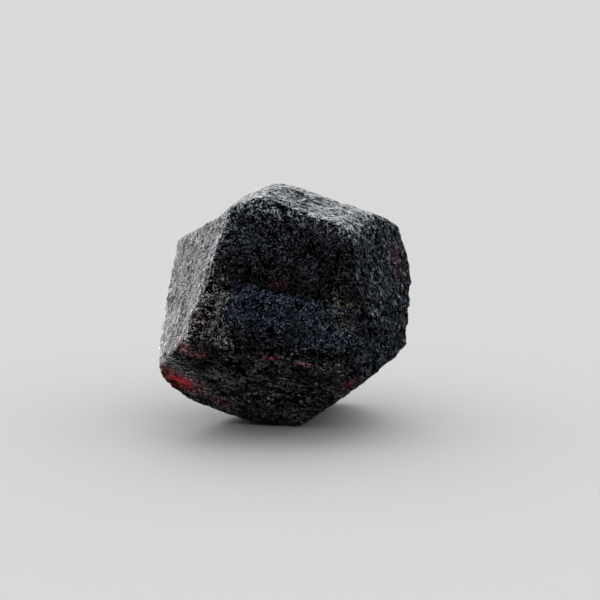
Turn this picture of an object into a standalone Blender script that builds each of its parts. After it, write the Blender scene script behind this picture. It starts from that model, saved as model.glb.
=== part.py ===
"""Garnet crystal: four parallel growths of one cubic lattice, joined and cut flat underneath.

Every face is named by its Miller indices and its distance from the heart of the crystal. The
rhombic dodecahedron {110} gives the broad faces and the trapezohedron {211} the narrow ones.
Metres, +Z up, the front towards -Y. The origin is on the resting face, below the centre of mass.
"""
import math

import bmesh
import bpy
from mathutils import Matrix, Vector

MM = 0.001
NAME = "garnet_crystal"

# Size and pose
HEART = Vector((-0.35, -1.65, 15.55)) * MM
ROLL = math.radians(-12.0)
TIP_BACK = math.radians(12.0)
BLANK_SIDE = 60.0 * MM

# Worn edges: depth taken off each sharp edge, coarse pass first, and the angle that counts as sharp
WEAR_DEPTHS = (0.30 * MM, 0.07 * MM)
SHARP_ANGLE = math.radians(14.0)
SHORTEST_WORN_EDGE = 0.9 * MM
CUT_TOLERANCE = 1.0e-7

# Lattice directions that faces lean towards
FRONT = (1, 1, 0)
TOP = (1, 0, 1)
BOTTOM = (0, 1, -1)
LEFT_LOW = (1, 0, -1)
RIGHT = (0, 1, 1)
CROWN = (0, 0, 1)
FOOT = (0, 0, -1)
UPPER_LEFT = (1, -1, 0)
LOWER_RIGHT = (-1, 1, 0)
UNDERSIDE = (-1, 1, -2)
ACROSS = (-1, 1, 1)

# Faces as name: (Miller indices, distance from the heart in mm, lean in degrees, leaning towards)
BACK_FACES = {
    "back": ((-1, -1, 0), 16.2, 0, None),
    "back_low": ((-1, 0, -1), 16.3, 0, None),
    "back_high": ((0, -1, 1), 13.0, 0, None),
    "back_right": ((-1, 0, 1), 15.2, 0, None),
    "back_left": ((0, -1, -1), 13.1, 4, LOWER_RIGHT),
    "back_left_bevel": ((-1, -1, -2), 17.3, 0, None),
    "back_top_bevel": ((-1, -1, 2), 16.8, 0, None),
    "back_right_bevel": ((-2, -1, 1), 17.5, 0, None),
    "left_end": ((1, -1, -2), 16.7, 0, None),
    "foot": (FOOT, 17.5, 0, None),
}
RIM_FACES = {
    "upper_left": (UPPER_LEFT, 14.3, 0, None),
    "crest_left": ((2, -2, 1), 15.5, 0, None),
    "crest": ((1, -1, 2), 15.45, 6.4, CROWN),
    "apex": ((2, -1, 2), 17.42, 0, None),
    "right_shoulder": ((-1, 1, 3), 17.6, 0, None),
    "right_end": ((-1, 1, 2), 16.3, 8, LOWER_RIGHT),
    "lower_right": (LOWER_RIGHT, 13.45, 5, UNDERSIDE),
    "underside": (UNDERSIDE, 15.15, 8, FOOT),
}
LOWER_GROWTH = {
    "front": (FRONT, 10.94, 1, BOTTOM),
    "front_skirt": (FRONT, 11.40, 12, BOTTOM),
    "top": (TOP, 15.4, 0, None),
    "bottom": (BOTTOM, 10.75, 4, RIGHT),
    "left": ((2, -1, -1), 13.6, 3, LEFT_LOW),
    "right": (RIGHT, 14.3, 0, None),
    "right_low": ((-1, 3, 2), 14.35, 5, LOWER_RIGHT),
    "crown": (CROWN, 18.1, 0, None),
}
UPPER_GROWTH = {
    "front": (FRONT, 12.49, 3, TOP),
    "front_low": (FRONT, 11.56, 5, BOTTOM),
    "step": ((1, 2, -1), 8.34, 0, None),
    "top": (TOP, 16.58, 0, None),
    "top_right": ((1, 1, 2), 17.35, 0, None),
    "bottom": (BOTTOM, 10.3, 4, RIGHT),
    "left": ((2, -1, -1), 14.05, 4, LEFT_LOW),
    "right": (RIGHT, 14.4, 0, None),
    "right_low": ((-1, 3, 2), 14.3, 5, LOWER_RIGHT),
    "crown": (CROWN, 18.2, 0, None),
}
CREST_GROWTH = {
    "front": (FRONT, 12.43, 3, TOP),
    "front_low": (FRONT, 11.35, 5, BOTTOM),
    "step": ((1, 2, -1), 7.8, 0, None),
    "top": (TOP, 16.73, 12, RIGHT),
    "crest_bevel": ((2, -1, 1), 17.52, 0, None),
    "left": ((2, -1, -1), 13.3, 3, LEFT_LOW),
    "right": (RIGHT, 12.0, 0, None),
    "bottom": (BOTTOM, 9.0, 4, RIGHT),
}
LEFT_GROWTH = {
    "front": (FRONT, 8.67, 15.2, ACROSS),
    "top": (TOP, 12.0, 0, None),
    "cap": ((2, -2, 1), 14.3, 0, None),
    "upper_left": (UPPER_LEFT, 16.3, 0, None),
    "left": ((2, -1, -1), 13.7, 3, LEFT_LOW),
    "back_left": ((0, -1, -1), 13.3, 4, LOWER_RIGHT),
    "bottom": (BOTTOM, 10.6, 4, RIGHT),
    "right": (RIGHT, 8.5, 0, None),
    "lower_right": (LOWER_RIGHT, 12.0, 0, None),
    "underside": (UNDERSIDE, 14.8, 8, FOOT),
}
# How far the shared faces of the later growths lie inside those of the first, so none coincide
INSET = {"upper": 0.06, "crest": 0.22, "left": 0.15}

GARNET_COLOUR = (0.016, 0.013, 0.017, 1.0)
GARNET_ROUGHNESS = 0.42


def clear_scene():
    """Remove whatever objects the file holds."""
    for found in list(bpy.data.objects):
        bpy.data.objects.remove(found, do_unlink=True)


def lattice_to_part():
    """Rotation that turns lattice directions into the part's frame."""
    out = Vector(FRONT).normalized()
    across = Vector(ACROSS).normalized()
    up = out.cross(across)
    facing = Matrix((across, -out, up))
    roll = Matrix.Rotation(-ROLL, 3, "Y")
    tip = Matrix.Rotation(-TIP_BACK, 3, "X")
    return tip @ roll @ facing


def face_normal(turn, indices, lean, towards):
    """Outward normal of a face, leaned a few degrees towards another direction."""
    normal = (turn @ Vector(indices)).normalized()
    if not lean:
        return normal
    aim = (turn @ Vector(towards)).normalized()
    aside = (aim - normal * normal.dot(aim)).normalized()
    angle = math.radians(lean)
    return normal * math.cos(angle) + aside * math.sin(angle)


def cut(bm, point, normal):
    """Take off everything beyond a plane and close the cut with one face."""
    everything = bm.verts[:] + bm.edges[:] + bm.faces[:]
    result = bmesh.ops.bisect_plane(
        bm,
        geom=everything,
        dist=CUT_TOLERANCE,
        plane_co=point,
        plane_no=normal,
        clear_outer=True,
    )
    rim = [item for item in result["geom_cut"] if isinstance(item, bmesh.types.BMEdge)]
    if len(rim) > 2:
        bmesh.ops.holes_fill(bm, edges=rim, sides=0)


def wear_edges(bm, depth):
    """Plane off every sharp edge to the given depth, square to the mean of its two faces."""
    planes = []
    for edge in bm.edges:
        long_enough = edge.calc_length() > SHORTEST_WORN_EDGE
        if len(edge.link_faces) == 2 and long_enough and edge.calc_face_angle() > SHARP_ANGLE:
            first, second = edge.link_faces
            normal = (first.normal + second.normal).normalized()
            planes.append((edge.verts[0].co - normal * depth, normal))
    for point, normal in planes:
        cut(bm, point, normal)
        bm.normal_update()


def build_growth(name, faces, turn):
    """One convex growth: a blank cube cut down to its faces, with worn edges."""
    bm = bmesh.new()
    bmesh.ops.create_cube(bm, size=BLANK_SIDE, matrix=Matrix.Translation(HEART))
    for indices, distance, lean, towards in faces.values():
        normal = face_normal(turn, indices, lean, towards)
        cut(bm, HEART + normal * distance * MM, normal)
    bm.normal_update()
    for depth in WEAR_DEPTHS:
        wear_edges(bm, depth)
    bmesh.ops.recalc_face_normals(bm, faces=bm.faces[:])
    mesh = bpy.data.meshes.new(name)
    bm.to_mesh(mesh)
    bm.free()
    return bpy.data.objects.new(name, mesh)


def with_inset(faces, inset):
    """The same faces, each moved towards the heart by the inset in mm."""
    return {
        name: (indices, distance - inset, lean, towards)
        for name, (indices, distance, lean, towards) in faces.items()
    }


def growth_faces(own, inset):
    """A growth's own faces over the shared rim and back faces."""
    faces = with_inset({**BACK_FACES, **RIM_FACES}, inset)
    faces.update(own)
    return faces


def garnet_material():
    """Very dark red garnet with a satin surface."""
    material = bpy.data.materials.new("garnet")
    material.use_nodes = True
    shader = material.node_tree.nodes["Principled BSDF"]
    shader.inputs["Base Color"].default_value = GARNET_COLOUR
    shader.inputs["Roughness"].default_value = GARNET_ROUGHNESS
    shader.inputs["Metallic"].default_value = 0.0
    return material


def new_collection(name):
    """A collection linked into the scene."""
    collection = bpy.data.collections.new(name)
    bpy.context.scene.collection.children.link(collection)
    return collection


def join_growth(target, growth):
    """Union a later growth into the first."""
    union = target.modifiers.new(growth.name, "BOOLEAN")
    union.operation = "UNION"
    union.solver = "EXACT"
    union.object = growth
    growth.hide_render = True
    growth.display_type = "WIRE"


def resting_cutter():
    """A block whose top is the level the crystal rests on."""
    bm = bmesh.new()
    centre = Vector((0.0, 0.0, -BLANK_SIDE / 2))
    bmesh.ops.create_cube(bm, size=BLANK_SIDE, matrix=Matrix.Translation(centre))
    mesh = bpy.data.meshes.new("resting_level")
    bm.to_mesh(mesh)
    bm.free()
    return bpy.data.objects.new("resting_level", mesh)


def cut_flat(target, cutter):
    """Cut the underside off flat."""
    flat = target.modifiers.new(cutter.name, "BOOLEAN")
    flat.operation = "DIFFERENCE"
    flat.solver = "EXACT"
    flat.object = cutter
    cutter.hide_render = True
    cutter.display_type = "WIRE"


def main():
    clear_scene()
    parts = new_collection(NAME)
    helpers = new_collection("growths_and_cutters")
    turn = lattice_to_part()

    crystal = build_growth(NAME, growth_faces(LOWER_GROWTH, 0.0), turn)
    crystal.data.materials.append(garnet_material())
    parts.objects.link(crystal)

    upper = build_growth("upper_growth", growth_faces(UPPER_GROWTH, INSET["upper"]), turn)
    crest = build_growth("crest_growth", growth_faces(CREST_GROWTH, INSET["crest"]), turn)
    left = build_growth("left_growth", growth_faces(LEFT_GROWTH, INSET["left"]), turn)
    for growth in (upper, crest, left):
        helpers.objects.link(growth)
        join_growth(crystal, growth)

    level = resting_cutter()
    helpers.objects.link(level)
    cut_flat(crystal, level)


main()
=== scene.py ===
"""A loose garnet crystal, dark and finely pitted, standing on a pale floor in soft light.

The crystal is one closed surface. Along every direction from its heart, the radius is the rounded
minimum over the crystal faces of each growth, then the rounded maximum over the growths. Weathering
(hummocks, growth lines, sugary grain, cracks and ledges) is added along the same directions.
Lengths on the crystal are in mm until they reach the mesh, the textures or the camera, which take
metres; lengths on the floor and the ceiling are in metres.
"""
from math import cos, radians, sin, sqrt

import bpy
import numpy as np
from mathutils import Matrix, Vector


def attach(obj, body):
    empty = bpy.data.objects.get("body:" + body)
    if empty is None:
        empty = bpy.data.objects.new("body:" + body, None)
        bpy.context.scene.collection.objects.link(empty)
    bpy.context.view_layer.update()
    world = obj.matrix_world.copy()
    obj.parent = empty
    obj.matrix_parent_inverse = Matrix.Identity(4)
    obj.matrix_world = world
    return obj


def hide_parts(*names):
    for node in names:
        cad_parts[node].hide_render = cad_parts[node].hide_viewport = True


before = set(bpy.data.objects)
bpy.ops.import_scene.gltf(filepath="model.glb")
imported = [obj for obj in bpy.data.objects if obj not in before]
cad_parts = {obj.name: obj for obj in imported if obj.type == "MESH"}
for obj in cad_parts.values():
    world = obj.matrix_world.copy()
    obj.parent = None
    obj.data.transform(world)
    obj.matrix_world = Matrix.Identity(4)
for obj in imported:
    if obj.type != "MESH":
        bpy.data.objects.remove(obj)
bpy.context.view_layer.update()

# Metres in a mm
MM = 0.001

# Pose: where the crystal's heart is, how the lattice is rolled about the front face, how far it tips
HEART = np.array([-0.35, -1.65, 15.55])
ROLL = radians(12.0)
TIP_BACK = radians(12.0)
VIEW_RIGHT = np.array([1.0, 0.0, 0.0])
VIEW_UP = np.array([0.0, sin(TIP_BACK), cos(TIP_BACK)])
VIEW_OUT = np.array([0.0, -cos(TIP_BACK), sin(TIP_BACK)])

# Surface grid: cells along each side of the six patches, how far they crowd to the front, and the
# decimals in which the shared rims of two patches agree
PATCH_CELLS = 128
CROWDING = 0.30
SHARED_DIGITS = 6

# Roundness of the edges between faces, and of the inner corners between growths (higher is sharper)
EDGE_SHARPNESS = 110.0
STEP_SHARPNESS = 300.0
# Power that widens the faces' shares into the band along their edges
EDGE_SOFTENING = 0.35
# How softly the underside rolls into the resting level, in mm
REST_ROUNDING = 0.9
# Every direction is taken to fall at least this much, so that it meets the resting level somewhere
LEAST_FALL = 0.001

# Lattice directions of the main faces, which other faces lean towards
FRONT = (1, 1, 0)
TOP = (1, 0, 1)
BOTTOM = (0, 1, -1)
LEFT = (2, -1, -1)
LEFT_LOW = (1, 0, -1)
RIGHT = (0, 1, 1)
CROWN = (0, 0, 1)
FOOT = (0, 0, -1)
UPPER_LEFT = (1, -1, 0)
LOWER_RIGHT = (-1, 1, 0)
UNDERSIDE = (-1, 1, -2)
ACROSS = (-1, 1, 1)

# Faces as name: (Miller indices, distance from the heart in mm, lean in degrees, leaning towards).
# They are the solid's faces, except that the left faces of the growths here share nearly one plane
# and a few distances differ by some hundredths of a mm. A growth has the back and rim faces too,
# and its own face where both name one.
BACK_FACES = {
    "back": ((-1, -1, 0), 16.2, 0, None),
    "back_low": ((-1, 0, -1), 16.3, 0, None),
    "back_high": ((0, -1, 1), 13.0, 0, None),
    "back_right": ((-1, 0, 1), 15.2, 0, None),
    "back_left": ((0, -1, -1), 13.1, 4, LOWER_RIGHT),
    "back_left_bevel": ((-1, -1, -2), 17.3, 0, None),
    "back_top_bevel": ((-1, -1, 2), 16.8, 0, None),
    "back_right_bevel": ((-2, -1, 1), 17.5, 0, None),
    "left_end": ((1, -1, -2), 16.7, 0, None),
    "foot": (FOOT, 17.5, 0, None),
}
RIM_FACES = {
    "upper_left": (UPPER_LEFT, 14.3, 0, None),
    "crest_left": ((2, -2, 1), 15.5, 0, None),
    "crest": ((1, -1, 2), 15.45, 6.4, CROWN),
    "apex": ((2, -1, 2), 17.46, 0, None),
    "right_shoulder": ((-1, 1, 3), 17.6, 0, None),
    "right_end": ((-1, 1, 2), 16.3, 8, LOWER_RIGHT),
    "lower_right": (LOWER_RIGHT, 13.45, 5, UNDERSIDE),
    "underside": (UNDERSIDE, 15.15, 8, FOOT),
}
LOWER_GROWTH = {
    "front_lower": (FRONT, 10.94, 1, BOTTOM),
    "front_skirt": (FRONT, 11.40, 12, BOTTOM),
    "top": (TOP, 15.4, 0, None),
    "bottom": (BOTTOM, 10.75, 4, RIGHT),
    "left": (LEFT, 13.85, 3.5, LEFT_LOW),
    "right": (RIGHT, 14.3, 0, None),
    "right_low": ((-1, 3, 2), 14.35, 5, LOWER_RIGHT),
    "crown": (CROWN, 18.1, 0, None),
}
UPPER_GROWTH = {
    "front_upper": (FRONT, 12.49, 3, TOP),
    "front_band": (FRONT, 11.56, 5, BOTTOM),
    "step": ((1, 2, -1), 8.34, 0, None),
    "top": (TOP, 16.58, 0, None),
    "top_right": ((1, 1, 2), 17.35, 0, None),
    "bottom": (BOTTOM, 10.3, 4, RIGHT),
    "left": (LEFT, 13.85, 3.5, LEFT_LOW),
    "right": (RIGHT, 14.4, 0, None),
    "right_low": ((-1, 3, 2), 14.3, 5, LOWER_RIGHT),
    "crown": (CROWN, 18.2, 0, None),
}
CREST_GROWTH = {
    "front_upper": (FRONT, 12.45, 3, TOP),
    "front_band": (FRONT, 11.35, 5, BOTTOM),
    "step": ((1, 2, -1), 7.8, 0, None),
    "top": (TOP, 16.73, 12, RIGHT),
    "crest_bevel": ((2, -1, 1), 17.52, 0, None),
    "left": (LEFT, 13.6, 3.5, LEFT_LOW),
    "right": (RIGHT, 12.0, 0, None),
    "bottom": (BOTTOM, 9.0, 4, RIGHT),
}
LEFT_GROWTH = {
    "left_strip": (FRONT, 8.67, 15.2, ACROSS),
    "top": (TOP, 12.0, 0, None),
    "cap": ((2, -2, 1), 14.3, 0, None),
    "upper_left": (UPPER_LEFT, 16.3, 0, None),
    "left": (LEFT, 13.85, 3.5, LEFT_LOW),
    "back_left": ((0, -1, -1), 13.3, 4, LOWER_RIGHT),
    "bottom": (BOTTOM, 10.6, 4, RIGHT),
    "right": (RIGHT, 8.5, 0, None),
    "lower_right": (LOWER_RIGHT, 12.0, 0, None),
    "underside": (UNDERSIDE, 14.8, 8, FOOT),
}
GROWTHS = (LOWER_GROWTH, UPPER_GROWTH, CREST_GROWTH, LEFT_GROWTH)

# Which crystal faces carry which surface finish
FINISHES = {
    "pale": ("top", "left", "cap", "upper_left", "crest_left", "crest_bevel", "top_right", "crest", "apex"),
    "strip": ("left_strip",),
    "blue": ("front_upper", "front_lower"),
    "lower_front": ("front_lower",),
    "slate": ("right", "right_low", "right_end", "right_shoulder", "crown"),
    "brown": ("bottom", "underside", "foot", "lower_right", "left_end"),
    "back": ("back", "back_low", "back_high", "back_right", "back_left", "back_right_bevel"),
}

# Growth lines in the relief, by face: (faces, the two faces whose shared edge the lines follow,
# a direction across the lines, lengths in mm along, across and deep, height in mm)
LINES = (
    (("top", "crest", "apex", "top_right"), (TOP, FRONT), VIEW_UP, (3.2, 0.45, 0.45), 0.14),
    (("left", "cap", "upper_left"), (LEFT, FRONT), VIEW_RIGHT, (2.0, 0.5, 0.5), 0.08),
    (("left_strip",), (LEFT, FRONT), VIEW_RIGHT, (0.9, 0.5, 0.5), 0.34),
    (("bottom", "underside", "foot"), (BOTTOM, (-1, 1, -3)), VIEW_UP, (3.0, 0.60, 0.60), 0.14),
    (("right", "right_low", "right_end"), (RIGHT, TOP), VIEW_OUT, (0.6, 0.6, 1.3), 0.22),
    (("front_upper", "front_band", "step"), (FRONT, ACROSS), VIEW_RIGHT, (0.9, 0.40, 0.4), 0.10),
    (("front_lower", "front_skirt"), (FRONT, ACROSS), VIEW_UP, (0.6, 0.45, 0.4), 0.08),
    (("back", "back_low", "back_high"), (FRONT, TOP), VIEW_RIGHT, (1.8, 0.55, 0.5), 0.16),
    (("back_right", "back_left"), (FRONT, BOTTOM), VIEW_UP, (1.6, 0.55, 0.5), 0.16),
)
# Fine lines in the colour, by finish: (finish, the two faces whose shared edge they follow, a
# direction across them, lengths in mm along, across and deep, share of the lines, contrast of bands)
LINED_FINISHES = (
    ("pale", (TOP, FRONT), VIEW_UP, (1.0, 0.24, 0.24), 0.5, 0.3),
    ("brown", (BOTTOM, (-1, 1, -3)), VIEW_UP, (0.6, 0.24, 0.24), 0.30, 1.5),
    ("slate", (RIGHT, TOP), VIEW_OUT, (0.28, 0.26, 0.70), 0.8, 0.8),
)
# How much more (or, below zero, less) of the pale grain shows, by finish
COVER = {"slate": 0.16, "brown": 0.02, "strip": 0.20, "blue": -0.05, "lower_front": 0.05, "back": 0.04}
# How calm the relief of the sugary grain is, by finish (0 is full relief, 1 is none)
CALM = {"pale": 0.65, "brown": 0.25, "back": 0.3}
# Masks that go both ways are stored about the middle, and relief and lines are scaled to fit
MIDDLE = 0.5
RELIEF_SCALE = 0.8
LINES_SCALE = 0.30
# How much grain painted light adds, and how much grain and pale grey go where there is painted shade
PAINTED_LIGHT_GRAIN = 0.25
PAINTED_SHADE_GRAIN = 0.42
PAINTED_SHADE_PALE = 0.7

# Stains and painted light and shade as (start, end, reach, strength), places and reach in mm. Red,
# pink and moss are colours; the red at the lower left edge paints a glow of light through the stone.
# Painted shade has less grain and less pale grey, and painted light has more of both.
STAINS_AND_PAINTED_LIGHT = {
    # The red at the lower left edge, strongest at the first mark, paints a glow of light through the stone;
    # the smaller red marks elsewhere are stains.
    "red": (
        ((-14.6, -6.6, 7.9), (-12.9, -5.9, 6.7), 1.25, 1.0),
        ((-15.6, -8.2, 9.3), (-14.2, -6.6, 7.8), 0.90, 0.55),
        ((-12.0, -5.2, 5.9), (-11.4, -5.0, 5.5), 0.90, 0.35),
        ((-9.9, -3.9, 4.2), (-8.0, -3.4, 3.4), 0.70, 0.30),
        ((-13.2, -12.3, 13.1), (-12.7, -11.8, 12.5), 0.34, 1.0),
        ((-11.5, -11.5, 12.1), (-10.9, -11.7, 12.1), 0.60, 0.35),
        ((-2.7, -13.0, 11.9), (-1.2, -13.1, 11.9), 0.30, 0.55),
        ((1.6, -12.9, 11.0), (3.0, -13.0, 10.9), 0.38, 0.60),
        ((7.8, -10.6, 7.7), (8.8, -11.8, 8.7), 0.60, 0.35),
        ((14.1, -2.4, 23.7), (14.7, -2.4, 21.3), 0.90, 0.50),
        ((-2.0, -12.1, 21.2), (-0.2, -12.2, 21.0), 0.50, 0.12),
        ((-10.6, -12.4, 15.9), (-10.2, -12.6, 16.9), 0.70, 0.30),
        ((-10.4, -12.3, 19.4), (-10.8, -12.6, 18.5), 0.45, 0.30),
        ((-10.9, -12.9, 17.6), (-11.5, -13.2, 16.5), 0.50, 0.35),
    ),
    "pink": (
        ((-14.2, -11.2, 14.2), (-13.5, -12.6, 13.7), 0.55, 1.0),
        ((-13.5, -12.5, 13.6), (-12.4, -11.8, 12.5), 0.62, 1.0),
        ((-15.8, -8.6, 9.9), (-15.3, -7.4, 8.6), 0.70, 0.45),
        ((-1.6, -13.1, 12.1), (0.5, -13.2, 12.3), 0.24, 0.55),
        ((1.4, -12.9, 11.2), (3.2, -13.1, 11.1), 0.26, 0.65),
        ((-13.7, 3.6, 24.3), (-14.5, 3.7, 22.3), 1.00, 0.60),
        ((-14.9, 2.4, 20.8), (-14.9, -3.4, 16.7), 0.80, 0.45),
        ((-2.4, -7.5, 31.8), (-1.2, -7.3, 31.6), 0.55, 0.50),
        ((-9.6, -12.6, 14.9), (-7.9, -12.9, 14.5), 0.90, 0.25),
    ),
    "moss": (
        ((7.2, -12.4, 19.5), (7.8, -12.6, 16.7), 1.7, 0.9),
        ((5.6, -10.8, 8.3), (6.4, -11.4, 8.7), 0.8, 0.6),
    ),
    # Painted shade: darker patches with less grain and less pale grey.
    "painted_shade_patch": (
        ((3.6, -11.6, 26.7), (8.0, -12.2, 23.3), 2.8, 0.9),
        ((8.6, -12.6, 20.3), (9.2, -12.7, 15.3), 1.2, 0.5),
        ((2.5, -11.0, 28.5), (7.5, -11.2, 26.5), 2.4, 0.9),
        ((-15.9, -6.3, 12.1), (-14.9, -6.0, 15.4), 2.2, 0.9),
        ((-10.9, -10.6, 21.9), (-11.6, -10.6, 19.4), 0.55, 0.9),
        ((-11.8, -11.2, 18.8), (-12.9, -11.9, 15.6), 0.50, 0.7),
        ((-7.0, -12.0, 21.9), (3.0, -12.4, 20.9), 0.7, 0.6),
        ((-8.8, -12.2, 22.7), (-8.2, -12.2, 21.5), 0.8, 1.0),
        ((-5.6, -12.9, 13.3), (0.0, -13.2, 12.7), 0.8, 0.7),
        ((-10.3, -10.4, 10.5), (-4.0, -11.2, 10.1), 0.6, 0.6),
    ),
    # Painted light: paler patches with more grain and more pale grey, mostly on the lower left, the left
    # face and the ridge beside the strip.
    "painted_light_patch": (
        ((-14.8, -9.4, 10.3), (-11.6, -6.2, 6.9), 1.8, 0.55),
        ((-11.6, -5.2, 5.8), (-7.0, -2.8, 2.9), 1.0, 0.45),
        ((-9.6, -8.2, 8.4), (-7.0, -7.6, 7.4), 1.4, 0.35),
        ((-11.6, -2.2, 24.6), (-13.6, 0.4, 21.9), 3.2, 0.9),
        ((-8.0, -12.1, 20.1), (-8.9, -12.7, 17.4), 0.45, 0.9),
        ((-8.9, -12.7, 17.4), (-9.7, -13.2, 15.4), 0.40, 0.8),
        ((-11.0, -12.4, 19.4), (-11.7, -12.9, 17.0), 0.45, 0.5),
        ((-13.2, -12.6, 13.9), (-12.0, -12.9, 14.9), 0.50, 0.7),
    ),
}

# Relief marks as (start, end, half width, height), all in mm. Below zero is a crack or hollow, above
# zero a ledge or lip.
MARKS = (
    ((-11.3, -7.8, 8.3), (-8.7, -6.7, 6.7), 0.26, -0.35),
    ((-8.7, -6.7, 6.7), (-6.0, -6.8, 6.4), 0.22, -0.30),
    ((-9.9, -4.1, 4.4), (-6.6, -3.4, 3.1), 0.34, -0.35),
    ((-7.4, -3.7, 3.4), (-5.0, -3.2, 2.7), 0.26, -0.30),
    ((-6.5, -5.1, 4.8), (-2.5, -5.4, 4.4), 0.24, -0.28),
    ((-11.7, -10.9, 11.3), (-8.7, -10.2, 10.2), 0.36, -0.28),
    ((-8.9, -10.3, 10.2), (-4.0, -11.5, 10.7), 0.40, -0.26),
    ((0.1, -11.8, 10.3), (3.0, -11.4, 9.4), 0.45, -0.26),
    ((-9.7, -11.5, 23.5), (-10.5, -12.3, 20.7), 0.40, -0.45),
    ((-10.6, -12.5, 20.3), (-12.3, -13.6, 15.5), 0.34, -0.40),
    ((-7.2, -12.1, 19.9), (2.2, -12.3, 18.7), 0.45, 0.28),
    ((3.0, -13.2, 12.3), (6.6, -13.2, 11.9), 0.60, -0.25),
    ((-3.4, -13.0, 12.0), (3.6, -13.1, 11.2), 0.50, 0.20),
)

# How far all the faces are worn down, in mm
WORN = 0.20
# How uneven the faces' distances are, in mm, the size of the waves, as a share of the radius, and
# how many different waves the faces take in turn
WOBBLE = 0.16
WOBBLE_SIZE = 1 / 3
WOBBLES = 6
# Smooth hummocks as (size, height), in mm
HUMMOCKS = ((6.0, 0.16), (2.6, 0.20), (1.2, 0.13), (0.65, 0.08))
# Sugary grain: its height and the spacing of its domes in mm, how tall the domes are, where they
# cross zero, and the smooth noises on them as (size in mm, height)
GRAIN_HEIGHT = 0.12
DOME_SPACING = 0.42
DOME_SHARE = 0.9
DOME_EDGE = 0.55
DOME_NOISES = ((0.30, 0.35), (0.60, 0.35))
# Noise that frays the edges of stains and marks, as (size in mm, amount)
RAGGED = ((0.9, 0.6), (0.35, 0.4))
# How far ragged edges move a mark, in mm; how much of a mark's ends tapers; how fast depth turns to black
# painted shade
MARK_RAGGEDNESS = 0.4
MARK_ENDS = (0.05, 0.95)
CRACK_DARKNESS = 3.0
# How much growth lines waver, in widths of a line, and the size of that waver in mm
LINE_WAVER = 0.5
LINE_WAVER_SIZE = 1.7

# Noise: cells along the side of the repeating lattice, the shift from one seed to the next in
# cells, and the gain that brings it to about -1 to 1
NOISE_CELLS = 32
NOISE_SHIFT = 0.37
NOISE_GAIN = 1.6
# Seeds, one for each use of noise; the lines and their waver count up from theirs
WOBBLE_SEED = 20
HUMMOCK_SEED = 1
DOME_SEED = 4
DOME_NOISE_SEED = 5
LINE_SEED = 7
WAVER_SEED = 50
RAGGED_SEED = 31


# ---------------------------------------------------------------- crystal form


def unit(v):
    """v, or each row of v, scaled to length 1."""
    return v / np.linalg.norm(v, axis=-1, keepdims=True)


def lattice_to_frame():
    """Rotation matrix that takes lattice directions to the frame, from the front face outwards."""
    out = np.array(FRONT) / sqrt(2)
    across = np.array(ACROSS) / sqrt(3)
    facing = np.stack([across, -out, np.cross(out, across)])
    c, s = cos(ROLL), sin(ROLL)
    roll = np.array([[c, 0, s], [0, 1, 0], [-s, 0, c]])
    c, s = cos(TIP_BACK), sin(TIP_BACK)
    tip = np.array([[1, 0, 0], [0, c, s], [0, -s, c]])
    return tip @ roll @ facing


TURN = lattice_to_frame()


def face_normal(indices, lean=0, towards=None):
    """Outward normal of a lattice face, leaned some degrees towards another lattice direction."""
    normal = unit(TURN @ np.array(indices, float))
    if not lean:
        return normal
    aim = TURN @ np.array(towards, float)
    aside = unit(aim - normal * (normal @ aim))
    return normal * cos(radians(lean)) + aside * sin(radians(lean))


def shared_edge(faces):
    """Direction of the edge that two lattice faces share."""
    first, second = faces
    return np.cross(face_normal(first), face_normal(second))


def cube_sphere(cells, crowding):
    """Directions over the whole sphere and the quads between them.

    Each of six patches is axis + tan(a) side + tan(b) up, scaled to length 1, with a and b evenly
    spaced from -45 to 45 degrees; shared rims are merged. Adding crowding times the front direction
    before the scaling gathers the directions towards the front.
    """
    steps = np.tan(np.linspace(-np.pi / 4, np.pi / 4, cells + 1))
    a, b = np.meshgrid(steps, steps, indexing="ij")
    index = np.arange((cells + 1) ** 2).reshape(cells + 1, cells + 1)
    corners = (index[:-1, :-1], index[1:, :-1], index[1:, 1:], index[:-1, 1:])
    quads = np.stack([c.ravel() for c in corners], axis=1)
    points, faces = [], []
    for axis in range(3):
        for sign in (1.0, -1.0):
            patch = np.zeros((a.size, 3))
            patch[:, axis] = sign
            patch[:, (axis + 1) % 3] = a.ravel()
            patch[:, (axis + 2) % 3] = b.ravel() * sign
            faces.append(quads + len(points) * a.size)
            points.append(patch)
    directions = unit(np.concatenate(points))
    keys = np.round(directions, SHARED_DIGITS)
    first, inverse = np.unique(keys, axis=0, return_index=True, return_inverse=True)[1:]
    directions = unit(directions[first] + crowding * VIEW_OUT)
    return directions, inverse.reshape(-1)[np.concatenate(faces)]


def rounded_form(directions, wobble):
    """Radius in mm along each direction, and how much each named face owns the surface there.

    In one growth, 1/r is the p-norm over its faces of (normal . direction) / distance, which rounds
    the edges. Over the growths, r is the q-norm, which rounds the inner corners. A face's share is
    its part of the first sum times its growth's part of the second.
    """
    radii, shares = [], []
    for growth in GROWTHS:
        faces = {**BACK_FACES, **RIM_FACES, **growth}
        terms = {}
        for number, (name, (indices, distance, lean, towards)) in enumerate(faces.items()):
            facing = directions @ face_normal(indices, lean, towards)
            away = distance + wobble[number % len(wobble)]
            terms[name] = np.maximum(facing / away, 0.0) ** EDGE_SHARPNESS
        total = sum(terms.values())
        radii.append(total ** (-1 / EDGE_SHARPNESS))
        shares.append({name: term / total for name, term in terms.items()})
    largest = np.max(radii)
    weights = [(r / largest) ** STEP_SHARPNESS for r in radii]
    whole = sum(weights)
    radius = whole ** (1 / STEP_SHARPNESS) * largest
    owned = {}
    for weight, share in zip(weights, shares):
        for name, value in share.items():
            owned[name] = owned.get(name, 0.0) + value * weight / whole
    return radius, owned


# ---------------------------------------------------------------- noise


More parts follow.
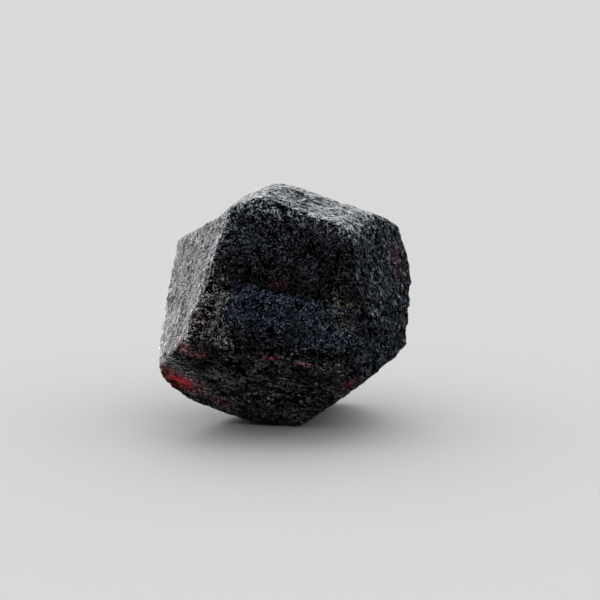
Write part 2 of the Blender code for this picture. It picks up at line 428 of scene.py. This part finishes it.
def gradient_noise(points, size, seed):
    """Smooth noise about -1 to 1: blended dot products with random vectors on a lattice of that size."""
    side = NOISE_CELLS
    table = unit(np.random.default_rng(seed).normal(size=(side, side, side, 3)))
    scaled = points / size + seed * NOISE_SHIFT
    low = np.floor(scaled).astype(int)
    part = scaled - low
    blend = part**3 * (part * (part * 6 - 15) + 10)
    total = np.zeros(len(points))
    for corner in np.ndindex(2, 2, 2):
        at = (low + corner) % side
        toward = np.einsum("ij,ij->i", table[at[:, 0], at[:, 1], at[:, 2]], part - corner)
        weight = np.prod(np.where(corner, blend, 1 - blend), axis=1)
        total += weight * toward
    return total * NOISE_GAIN


def grains(points, size, seed):
    """Distance to the nearest of scattered points, one per cell of that size, in cells."""
    side = NOISE_CELLS
    table = np.random.default_rng(seed).uniform(size=(side, side, side, 3))
    scaled = points / size
    low = np.floor(scaled).astype(int)
    nearest = np.full(len(points), np.inf)
    for corner in np.ndindex(3, 3, 3):
        cell = low + corner - 1
        at = cell % side
        seeds = cell + table[at[:, 0], at[:, 1], at[:, 2]]
        nearest = np.minimum(nearest, np.linalg.norm(scaled - seeds, axis=1))
    return nearest


def streaks(points, along, across, lengths, seed):
    """Noise stretched along one direction: coordinates along, across and deep, each over its length.

    The points are first shifted by slow noise, so the streaks waver.
    """
    along = unit(np.asarray(along, float))
    across = unit(across - along * (across @ along))
    deep = np.cross(along, across)
    waver = LINE_WAVER * gradient_noise(points, LINE_WAVER_SIZE, seed + WAVER_SEED)
    local = np.stack([points @ along, points @ across + waver, points @ deep], axis=1)
    return gradient_noise(local / np.array(lengths), 1.0, seed)


def distance_to_segment(points, start, end):
    """Distance in mm from each point to the segment, and how far along it, from 0 to 1."""
    start, end = np.array(start), np.array(end)
    line = end - start
    at = np.clip((points - start) @ line / (line @ line), 0, 1)
    return np.linalg.norm(points - start - at[:, None] * line, axis=1), at


def soft_patches(points, patch_sets, ragged):
    """Soft patches of stain and of painted light and shade: the largest, over the patches, of strength
    times a bell of the distance over reach.
    """
    value = np.zeros(len(points))
    for start, end, reach, strength in patch_sets:
        gap = distance_to_segment(points, start, end)[0] + ragged * min(reach, 1.0)
        value = np.maximum(value, strength * np.exp(-(np.maximum(gap, 0) / reach) ** 2))
    return value


def marked(points, ragged):
    """Relief in mm of the marks, and the painted shade in the cracks: bells across segments, tapering off.
    """
    relief = np.zeros(len(points))
    dark = np.zeros(len(points))
    for start, end, half_width, height in MARKS:
        gap, at = distance_to_segment(points, start, end)
        taper = np.sqrt(np.sin(np.pi * np.clip(at, *MARK_ENDS)))
        bell = taper * np.exp(-(((gap + MARK_RAGGEDNESS * ragged) / half_width) ** 2))
        relief += height * bell
        dark = np.maximum(dark, bell * np.clip(-CRACK_DARKNESS * height, 0.0, 1.0))
    return relief, dark


# ---------------------------------------------------------------- weathered surface


def share_of(owned, names):
    """How much the named faces together own the surface."""
    return sum(owned[name] for name in names if name in owned)


# The edge mask places the painted highlights along the edges of the pale faces.
def edge_mask(owned):
    """1 along the edges of the pale faces and 0 away from them: 4 s (1 - s), s the pale faces' share.

    The shares are first raised to a power below one, which widens the band along each edge.
    """
    softened = {name: value**EDGE_SOFTENING for name, value in owned.items()}
    pale = share_of(softened, FINISHES["pale"]) / sum(softened.values())
    return 4.0 * pale * (1.0 - pale)


def by_finish(finishes, amounts):
    """Sum over the finishes of the mask times that finish's amount."""
    return sum(finishes[name] * amount for name, amount in amounts.items())


def layered_noise(points, layers, seed):
    """Sum of smooth noises, one for each (size, amount), with seeds that count up from the first."""
    noises = (
        amount * gradient_noise(points, size, number)
        for number, (size, amount) in enumerate(layers, start=seed)
    )
    return sum(noises)


def growth_lines(points, owned):
    """Streaks along each lined face's edge direction: plain, and times each face's height."""
    plain = np.zeros(len(points))
    raised = np.zeros(len(points))
    for seed, (faces, edge, across, lengths, height) in enumerate(LINES, start=LINE_SEED):
        share = share_of(owned, faces) * streaks(points, shared_edge(edge), across, lengths, seed)
        plain += share
        raised += height * share
    return plain, raised


def cut_level(radius, directions):
    """The radius, or that of the resting level where it is smaller, with a rounded change between."""
    level = HEART[2] / np.maximum(-directions[:, 2], LEAST_FALL)
    gap = np.clip(0.5 + 0.5 * (level - radius) / REST_ROUNDING, 0.0, 1.0)
    return level + (radius - level) * gap - REST_ROUNDING * gap * (1.0 - gap)


def garnet_surface():
    """The crystal's surface: heart + (radius + relief) x direction, cut flat where it rests.

    Relief is hummocks (smooth noise at four sizes) + growth lines (streaks by face) + sugary grain
    (domes round scattered points, and two sizes of smooth noise) + the marks. The mesh carries one
    mask, from 0 to 1, for each finish, for the red, pink and moss colours, and for relief, lines, the
    painted shade in the cracks, edges and cover.
    """
    directions, quads = cube_sphere(PATCH_CELLS, CROWDING)
    wobble = [
        WOBBLE * gradient_noise(directions, WOBBLE_SIZE, WOBBLE_SEED + number)
        for number in range(WOBBLES)
    ]
    radius, owned = rounded_form(directions, wobble)
    points = HEART + radius[:, None] * directions
    finishes = {name: share_of(owned, faces) for name, faces in FINISHES.items()}

    hummocks = layered_noise(points, HUMMOCKS, HUMMOCK_SEED)
    domes = DOME_SHARE * (DOME_EDGE - grains(points, DOME_SPACING, DOME_SEED))
    fine = domes + layered_noise(points, DOME_NOISES, DOME_NOISE_SEED)
    lines, raised_lines = growth_lines(points, owned)
    ragged = layered_noise(points, RAGGED, RAGGED_SEED)
    grain = GRAIN_HEIGHT * fine * (1.0 - by_finish(finishes, CALM))
    marks, crack_shades = marked(points, ragged)
    relief = hummocks + raised_lines + grain + marks - WORN
    radius = cut_level(radius + relief, directions)
    surface = HEART + radius[:, None] * directions
    surface[:, 2] = np.maximum(surface[:, 2], 0.0)

    mesh = bpy.data.meshes.new("garnet_surface")
    mesh.from_pydata((surface * MM).tolist(), [], quads.tolist())
    mesh.update()
    patch_sets = {name: soft_patches(points, places, ragged) for name, places in STAINS_AND_PAINTED_LIGHT.items()}
    painted_shade_patch = patch_sets.pop("painted_shade_patch")
    painted_light_patch = patch_sets.pop("painted_light_patch")
    masks = {**finishes, **patch_sets, "crack_shade": crack_shades, "edge": edge_mask(owned)}
    masks["relief"] = MIDDLE + RELIEF_SCALE * fine
    masks["lines"] = MIDDLE + LINES_SCALE * lines
    # The pale grey goes on the pale faces and the painted light, less where there is painted shade; the
    # painted light adds grain and the painted shade takes it away.
    masks["pale"] = (finishes["pale"] + painted_light_patch) * (1.0 - PAINTED_SHADE_PALE * painted_shade_patch)
    masks["cover"] = MIDDLE + by_finish(finishes, COVER) + PAINTED_LIGHT_GRAIN * painted_light_patch - PAINTED_SHADE_GRAIN * painted_shade_patch
    for name, values in masks.items():
        attribute = mesh.attributes.new(name, "FLOAT", "POINT")
        attribute.data.foreach_set("value", np.clip(values, 0.0, 1.0).astype(np.float32))
    mesh.shade_smooth()
    piece = bpy.data.objects.new("garnet_surface", mesh)
    bpy.context.scene.collection.objects.link(piece)
    return piece


# ---------------------------------------------------------------- materials


class Nodes:
    """Short ways to add nodes to one tree. Each returns the output that carries its result."""

    def __init__(self, tree):
        self.tree = tree

    def add(self, kind, **settings):
        """A new node of that kind, with its settings."""
        node = self.tree.nodes.new(kind)
        for name, value in settings.items():
            setattr(node, name, value)
        return node

    def feed(self, socket, value):
        """Link an output to the socket, or set a plain value on it."""
        if isinstance(value, bpy.types.NodeSocket):
            self.tree.links.new(value, socket)
        else:
            socket.default_value = value

    def mask(self, name):
        """One of the mesh's masks."""
        return self.add("ShaderNodeAttribute", attribute_name=name).outputs["Fac"]

    def math(self, operation, a, b=0.0):
        """One sum on two numbers."""
        node = self.add("ShaderNodeMath", operation=operation)
        self.feed(node.inputs[0], a)
        self.feed(node.inputs[1], b)
        return node.outputs[0]

    def vector(self, operation, a, b=(0.0, 0.0, 0.0)):
        """One sum on two vectors."""
        node = self.add("ShaderNodeVectorMath", operation=operation)
        self.feed(node.inputs[0], a)
        self.feed(node.inputs[1], b)
        return node.outputs[0]

    def mix(self, factor, a, b, kind="FLOAT"):
        """From a to b as the factor goes from 0 to 1."""
        node = self.add("ShaderNodeMix", data_type=kind)
        self.feed(node.inputs["Factor"], factor)
        self.feed(node.inputs["A"], a)
        self.feed(node.inputs["B"], b)
        return node.outputs["Result"]

    def blend(self, factor, a, b):
        """From colour a to colour b as the factor goes from 0 to 1."""
        return self.mix(factor, a, b, "RGBA")

    def ramp(self, value, low, high, to_low=0.0, to_high=1.0):
        """A straight ramp between two values, level outside them."""
        node = self.add("ShaderNodeMapRange", clamp=True)
        self.feed(node.inputs["Value"], value)
        node.inputs["From Min"].default_value = low
        node.inputs["From Max"].default_value = high
        node.inputs["To Min"].default_value = to_low
        node.inputs["To Max"].default_value = to_high
        return node.outputs["Result"]

    def noise(self, where, size_mm, detail=1.0, distortion=0.0):
        """Smooth noise about 0.5."""
        node = self.add("ShaderNodeTexNoise")
        self.feed(node.inputs["Vector"], where)
        node.inputs["Scale"].default_value = 1.0 / (size_mm * MM)
        node.inputs["Detail"].default_value = detail
        node.inputs["Distortion"].default_value = distortion
        return node.outputs["Fac"]

    def fleck(self, where, size_mm, pattern):
        """The high places of a noise: pattern is (size, detail, distortion, low, high)."""
        size, detail, distortion, low, high = pattern
        return self.ramp(self.noise(where, size * size_mm, detail, distortion), low, high)

    def vein(self, where, size_mm, pattern):
        """Winding lines along the middle level of a noise: the same pattern, counted from that level."""
        size, detail, distortion, low, high = pattern
        off = self.math("SUBTRACT", self.noise(where, size * size_mm, detail, distortion), 0.5)
        return self.ramp(self.math("ABSOLUTE", off), low, high)

    def fibres(self, where, size_mm):
        """Sugary grain with winding threads through it, from 0 in the pits to about 1 on the ridges."""
        body = self.fleck(where, size_mm, BODY)
        threads = self.vein(where, size_mm, THREADS)
        threads = self.math("MULTIPLY", threads, self.fleck(where, size_mm, THREAD_BREAKS))
        body = self.math("MULTIPLY", body, BODY_SHARE)
        threads = self.math("MULTIPLY", threads, THREAD_SHARE)
        return self.math("ADD", body, threads)

    def fissures(self, where, size_mm):
        """Long thin cracks and pocks, 1 in them and 0 away from them, in some places only; the material
        paints them black as shade.
        """
        both = self.math("MAXIMUM", self.vein(where, size_mm, CRACKS), self.fleck(where, size_mm, POCKS))
        return self.math("MULTIPLY", both, self.fleck(where, size_mm, CRACKED_PLACES))

    def stretched(self, where, along, across, lengths_mm):
        """Coordinates along, across and deep, each divided by its length relative to the middle one."""
        along = unit(np.asarray(along, float))
        across = unit(across - along * (across @ along))
        parts = self.add("ShaderNodeCombineXYZ")
        axes = (along, across, np.cross(along, across))
        for number, (axis, length) in enumerate(zip(axes, lengths_mm)):
            dot = self.add("ShaderNodeVectorMath", operation="DOT_PRODUCT")
            self.feed(dot.inputs[0], where)
            dot.inputs[1].default_value = axis * (lengths_mm[1] / length)
            self.feed(parts.inputs[number], dot.outputs["Value"])
        return parts.outputs[0]

    def tilted(self, where, size_mm, amount):
        """The surface's normal, leaned by that amount in a direction of its own in each small cell."""
        cells = self.add("ShaderNodeTexVoronoi")
        self.feed(cells.inputs["Vector"], where)
        cells.inputs["Scale"].default_value = 1.0 / (size_mm * MM)
        lean = self.add("ShaderNodeVectorMath", operation="SCALE")
        self.feed(lean.inputs[0], self.vector("SUBTRACT", cells.outputs["Color"], (0.5, 0.5, 0.5)))
        self.feed(lean.inputs["Scale"], amount)
        normal = self.add("ShaderNodeNewGeometry").outputs["Normal"]
        leaned = self.vector("ADD", normal, lean.outputs[0])
        return self.vector("NORMALIZE", leaned)


# Patterns as (size, as a share of the grain's or the cracks' size, detail, distortion, low, high)
BODY = (1.0, 0.8, 0.8, 0.53, 0.70)
THREADS = (1.9, 0.5, 1.2, 0.035, 0.0)
THREAD_BREAKS = (2.1, 1.0, 0.0, 0.42, 0.60)
CRACKS = (1.0, 1.5, 0.6, 0.034, 0.012)
POCKS = (0.32, 1.0, 0.5, 0.60, 0.67)
CRACKED_PLACES = (1.7, 1.0, 0.0, 0.44, 0.54)
BODY_SHARE = 0.6
THREAD_SHARE = 0.6
# Sizes in mm of the grain, the spacing of the cracks, the clouds of more and less grain, the places
# of the painted glints, the gaps in the painted edge highlight, and the grains that lean each their own way
GRAIN_SIZE = 0.23
CRACK_SPACING = 2.2
CLOUD_SIZE = 2.0
GLINT_SPACING = 0.60
RIM_GAPS = 0.75
TILTED_GRAIN = 0.30
# On lined faces, the spacing of the cracks and of the darker and lighter bands, in widths of a line
FISSURE_SPACING = 6.0
PLATE_SPACING = 4.0
# Detail and distortion of the noise in the clouds and the bands
CLOUD_DETAIL = 3.0
PLATE_DETAIL = 2.0
PLATE_DISTORTION = 0.8
# How much deeper the pits are, by finish, as a share of the grain; the pits are painted black as shade
PITTING = {"slate": 0.06, "brown": 0.03, "blue": 0.02}
# What else makes the grain show more: growth lines, high places and the edges of the pale faces, where this
# is painted highlight
CLOUD_SHARES = {"lines": 0.30, "relief": 0.20, "edge": 0.25}
# How much likelier a painted glint is along those edges
EDGE_GLINTS = 0.10

# Ramps as (low, high) or (low, high, value at low, value at high), on the clouds, the level out of
# the pits, noises and the red mask
STRENGTH = (0.55, 0.95, 0.12, 1.0)
OUT_OF_PITS = (0.00, 0.14)
SPECKS = (0.02, 0.66)
GLINT_PLACES = (0.58, 0.68)
GLINT_TOPS = (0.45, 0.75)
RIM_PLACES = (0.36, 0.54)
RIM_TOPS = (0.04, 0.34)
TINT_TONE = (0.10, 0.55)
CLEAR_RED = (0.60, 1.05)
DARK_ROUGHNESS = (0.20, 0.80, 0.35, 0.20)
PALE_ROUGHNESS = (0.10, 0.80, 0.70, 0.48)
# Power that holds the middle grains back from full colour
SPECK_POWER = 1.4

# Refractive index of an almandine garnet
GARNET_IOR = 1.83
# How far the small grains lean, and how strong the bump is, on the dark and on the pale faces, and
# how deep the bump is at full strength
DARK_LEAN = 0.30
PALE_LEAN = 0.15
DARK_BUMP = 1.0
PALE_BUMP = 0.6
BUMP_DEPTH = 0.10 * MM

# Linear colours. The ground is black, navy on the lower front and, on the pale faces, a light grey
# that is painted light on the lit top and left faces; the grain on it has its finish's colour, glint
# is a painted highlight for the brightest grains and the pale edges, and red and red grain also
# paint a glow of light through the stone at the lower left edge
COLOURS = {
    "black": (0.0015, 0.0012, 0.0015, 1),
    "navy": (0.0080, 0.0110, 0.0220, 1),
    "dark_grain": (0.105, 0.110, 0.135, 1),
    "blue_grain": (0.410, 0.500, 0.730, 1),
    "slate_grain": (0.720, 0.820, 1.000, 1),
    "brown_grain": (0.660, 0.630, 0.660, 1),
    "back_grain": (0.420, 0.420, 0.450, 1),
    # The left strip's near-white grain is partly its own pale grain and partly painted light, for the light
    # it catches facing left.
    "strip_grain": (1.000, 0.960, 0.940, 1),
    "moss_grain": (0.900, 0.810, 0.520, 1),
    "lit_face_grey": (0.230, 0.230, 0.233, 1),
    "lit_face_grain": (0.760, 0.750, 0.750, 1),
    "painted_glint": (0.880, 0.940, 1.000, 1),
    "red": (0.520, 0.002, 0.010, 1),
    "red_grain": (0.950, 0.045, 0.065, 1),
    "pink": (0.200, 0.030, 0.030, 1),
    "pink_grain": (1.000, 0.740, 0.680, 1),
}


def garnet_material():
    """Near-black garnet: pale grains on black, a grey bloom on the weathered faces, red stains.

    A level says how far each spot stands out of the pits: grainy noise and winding threads, drawn
    out along the growth lines on the lined faces. Pits and cracks are painted shade: black, and metallic so
    that no light comes back out of them.
    """
    material = bpy.data.materials.new("garnet")
    material.use_nodes = True
    n = Nodes(material.node_tree)
    shader = material.node_tree.nodes["Principled BSDF"]
    where = n.add("ShaderNodeTexCoord").outputs["Object"]

    level = n.fibres(where, GRAIN_SIZE)
    crack_shades = n.fissures(where, CRACK_SPACING)
    cloud = n.noise(where, CLOUD_SIZE, CLOUD_DETAIL)
    for finish, edge, across, lengths, share, contrast in LINED_FINISHES:
        mask = n.mask(finish)
        width = lengths[1]
        lined = n.stretched(where, shared_edge(edge), across, lengths)
        level = n.mix(n.math("MULTIPLY", mask, share), level, n.fibres(lined, width))
        crack_shades = n.mix(mask, crack_shades, n.fissures(lined, FISSURE_SPACING * width))
        plates = n.noise(lined, PLATE_SPACING * width, PLATE_DETAIL, PLATE_DISTORTION)
        plates = n.math("MULTIPLY", n.math("SUBTRACT", plates, 0.5), contrast)
        cloud = n.math("ADD", cloud, n.math("MULTIPLY", mask, plates))
    for finish, depth in PITTING.items():
        level = n.math("SUBTRACT", level, n.math("MULTIPLY", n.mask(finish), depth))
    # Painted shade: cracks, and the crack marks of the relief, take the level down into the black pits.
    crack_shades = n.math("MAXIMUM", crack_shades, n.mask("crack_shade"))
    level = n.math("MULTIPLY", level, n.math("SUBTRACT", 1.0, crack_shades))
    for name, share in CLOUD_SHARES.items():
        cloud = n.math("ADD", cloud, n.math("MULTIPLY", n.mask(name), share))
    cloud = n.math("ADD", cloud, n.math("SUBTRACT", n.mask("cover"), MIDDLE))

    out_of_pits = n.ramp(level, *OUT_OF_PITS)
    specks = n.math("POWER", n.ramp(level, *SPECKS), SPECK_POWER)
    specks = n.math("MULTIPLY", specks, n.ramp(cloud, *STRENGTH))
    near_edge = n.math("MULTIPLY", n.mask("edge"), EDGE_GLINTS)
    # Painted glints: the brightest grains, more of them along the pale edges, are coloured near white as
    # highlights.
    rare = n.ramp(n.math("ADD", n.noise(where, GLINT_SPACING), near_edge), *GLINT_PLACES)
    painted_glints = n.math("MULTIPLY", n.ramp(level, *GLINT_TOPS), rare)
    # Painted highlight along the edges of the pale faces, broken into gaps, also in the near-white glint
    # colour.
    painted_rim = n.math("MULTIPLY", n.mask("edge"), n.ramp(n.noise(where, RIM_GAPS), *RIM_PLACES))
    painted_rim = n.math("MULTIPLY", painted_rim, n.ramp(level, *RIM_TOPS))

    grain_colour = COLOURS["dark_grain"]
    for finish in ("blue", "slate", "brown", "back", "strip", "moss"):
        grain_colour = n.blend(n.mask(finish), grain_colour, COLOURS[finish + "_grain"])
    ground = n.blend(n.mask("lower_front"), COLOURS["black"], COLOURS["navy"])
    colour = n.blend(specks, ground, grain_colour)
    colour = n.blend(painted_glints, colour, COLOURS["painted_glint"])
    # Painted light: on the pale faces the ground and grain turn light grey, standing in for the light that
    # falls on the top and left faces.
    lit_face_grey = n.blend(specks, COLOURS["lit_face_grey"], COLOURS["lit_face_grain"])
    colour = n.blend(n.math("MULTIPLY", n.mask("pale"), out_of_pits), colour, lit_face_grey)
    colour = n.blend(painted_rim, colour, COLOURS["painted_glint"])
    # Where the red is strong, as in the painted glow at the lower left edge, the pits are filled and the
    # red shows clear.
    unpitted = n.math("MAXIMUM", out_of_pits, n.ramp(n.mask("red"), *CLEAR_RED))
    for tint in ("red", "pink"):
        tone = n.blend(n.ramp(level, *TINT_TONE), COLOURS[tint], COLOURS[tint + "_grain"])
        colour = n.blend(n.math("MULTIPLY", n.mask(tint), unpitted), colour, tone)
    n.feed(shader.inputs["Base Color"], colour)
    # Painted shade: away from the lit grains and the red, the pits and cracks are black metal, which sends
    # no light back.
    lit = n.math("MAXIMUM", out_of_pits, n.mask("red"))
    n.feed(shader.inputs["Metallic"], n.math("SUBTRACT", 1.0, lit))

    pale = n.mask("pale")
    dark_rough = n.ramp(level, *DARK_ROUGHNESS)
    pale_rough = n.ramp(level, *PALE_ROUGHNESS)
    n.feed(shader.inputs["Roughness"], n.mix(pale, dark_rough, pale_rough))
    shader.inputs["IOR"].default_value = GARNET_IOR

    bump = n.add("ShaderNodeBump")
    bump.inputs["Distance"].default_value = BUMP_DEPTH
    bump.inputs["Strength"].default_value = 1.0
    n.feed(bump.inputs["Height"], n.math("MULTIPLY", level, n.mix(pale, DARK_BUMP, PALE_BUMP)))
    tilted = n.tilted(where, TILTED_GRAIN, n.mix(pale, DARK_LEAN, PALE_LEAN))
    n.feed(bump.inputs["Normal"], tilted)
    n.feed(shader.inputs["Normal"], bump.outputs[0])
    return material


# ---------------------------------------------------------------- stage

# Floor: half its side in metres, and its colour
FLOOR_HALF_SIDE = 3.0
FLOOR_COLOUR = (0.85, 0.85, 0.85, 1)
# Camera: how far it is from the heart, how wide the frame is there, and how far the frame's middle
# is to the right of the heart and above it, all in mm; its nearest and farthest view in metres
CAMERA_DISTANCE = 350.0
FRAME_WIDTH_AT_HEART = 77.4
CENTRE_RIGHT_OF_HEART = 2.06
CENTRE_ABOVE_HEART = 1.42
SENSOR_WIDTH = 36.0
NEAREST_VIEW = 0.01
FARTHEST_VIEW = 20.0


def build_floor():
    """A wide plain floor at the level the crystal rests on."""
    side = FLOOR_HALF_SIDE
    corners = [(-side, -side, 0), (side, -side, 0), (side, side, 0), (-side, side, 0)]
    mesh = bpy.data.meshes.new("floor")
    mesh.from_pydata(corners, [], [(0, 1, 2, 3)])
    floor = bpy.data.objects.new("floor", mesh)
    bpy.context.scene.collection.objects.link(floor)
    material = bpy.data.materials.new("floor_paper")
    material.use_nodes = True
    shader = material.node_tree.nodes["Principled BSDF"]
    shader.inputs["Base Color"].default_value = FLOOR_COLOUR
    shader.inputs["Roughness"].default_value = 1.0
    shader.inputs["Specular IOR Level"].default_value = 0.0
    mesh.materials.append(material)
    floor.visible_glossy = False
    return floor


# Soft panels as name: (direction they shine from, width in degrees, radiance, colour)
PANELS = {
    "left_panel": ((-0.56, 0.82, 0.06), 60.0, 5.0, (1.0, 0.975, 0.96)),
    "back_panel": ((0.18, 0.66, 0.72), 50.0, 7.8, (0.94, 0.98, 1.0)),
    "right_panel": ((0.86, 0.50, 0.08), 50.0, 0.25, (0.65, 0.82, 1.0)),
    "key_panel": ((-0.24, -0.33, 0.91), 20.0, 9.0, (0.76, 0.89, 1.0)),
    "low_panel": ((-0.85, -0.42, 0.14), 40.0, 2.1, (1.0, 0.98, 0.97)),
}
# Ceiling over the floor: its height, how far behind the crystal its middle is and its width, in
# metres, and its radiance
SKY_HEIGHT = 3.0
SKY_BEHIND = 1.0
SKY_WIDTH = 14.0
SKY_RADIANCE = 0.96
# Grey of the surround as it lights the crystal, and as the camera sees it past the floor
SURROUND = 0.01
BACKDROP = 0.69


def only_for(lamp, receiver):
    """Let a lamp light one object only; everything still casts its shadow."""
    group = bpy.data.collections.new(lamp.name + "_reach")
    group.objects.link(receiver)
    lamp.light_linking.receiver_collection = group


def build_light(crystal, floor):
    """Soft panels far away for the crystal, a wide white ceiling for the floor, a dim surround."""
    for name, (source, width, radiance, colour) in PANELS.items():
        lamp = bpy.data.lights.new(name, "SUN")
        lamp.angle = radians(width)
        lamp.energy = radiance * np.pi * sin(radians(width / 2)) ** 2
        lamp.color = colour
        panel = bpy.data.objects.new(name, lamp)
        panel.rotation_mode = "QUATERNION"
        panel.rotation_quaternion = Vector(source).to_track_quat("Z", "Y")
        bpy.context.scene.collection.objects.link(panel)
        only_for(panel, crystal)
    lamp = bpy.data.lights.new("ceiling", "AREA")
    lamp.shape = "DISK"
    lamp.size = SKY_WIDTH
    lamp.energy = SKY_RADIANCE * np.pi * (np.pi * SKY_WIDTH**2 / 4)
    ceiling = bpy.data.objects.new("ceiling", lamp)
    ceiling.location = (0.0, SKY_BEHIND, SKY_HEIGHT)
    ceiling.visible_camera = False
    bpy.context.scene.collection.objects.link(ceiling)
    only_for(ceiling, floor)
    world = bpy.data.worlds.new("surround")
    world.use_nodes = True
    bpy.context.scene.world = world
    n = Nodes(world.node_tree)
    background = world.node_tree.nodes["Background"]
    seen = n.add("ShaderNodeLightPath").outputs["Is Camera Ray"]
    shades = [(level, level, level, 1) for level in (SURROUND, BACKDROP)]
    n.feed(background.inputs["Color"], n.blend(seen, *shades))


def build_camera():
    """A long lens that looks straight at the front face, aimed a little right of and above the heart."""
    data = bpy.data.cameras.new("camera")
    data.sensor_width = SENSOR_WIDTH
    data.lens = SENSOR_WIDTH * CAMERA_DISTANCE / FRAME_WIDTH_AT_HEART
    data.clip_start = NEAREST_VIEW
    data.clip_end = FARTHEST_VIEW
    camera = bpy.data.objects.new("camera", data)
    place = (
        HEART
        + VIEW_OUT * CAMERA_DISTANCE
        + VIEW_RIGHT * CENTRE_RIGHT_OF_HEART
        + VIEW_UP * CENTRE_ABOVE_HEART
    )
    camera.location = Vector(place * MM)
    camera.rotation_mode = "QUATERNION"
    axes = np.stack([VIEW_RIGHT, VIEW_UP, VIEW_OUT], axis=1)
    camera.rotation_quaternion = Matrix(axes.tolist()).to_quaternion()
    bpy.context.scene.collection.objects.link(camera)
    bpy.context.scene.camera = camera


# ---------------------------------------------------------------- build

garnet = garnet_surface()
garnet.data.materials.append(garnet_material())
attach(garnet, "root")
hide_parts("garnet_crystal")
build_light(garnet, build_floor())
build_camera()
bpy.context.scene.view_settings.view_transform = "Standard"
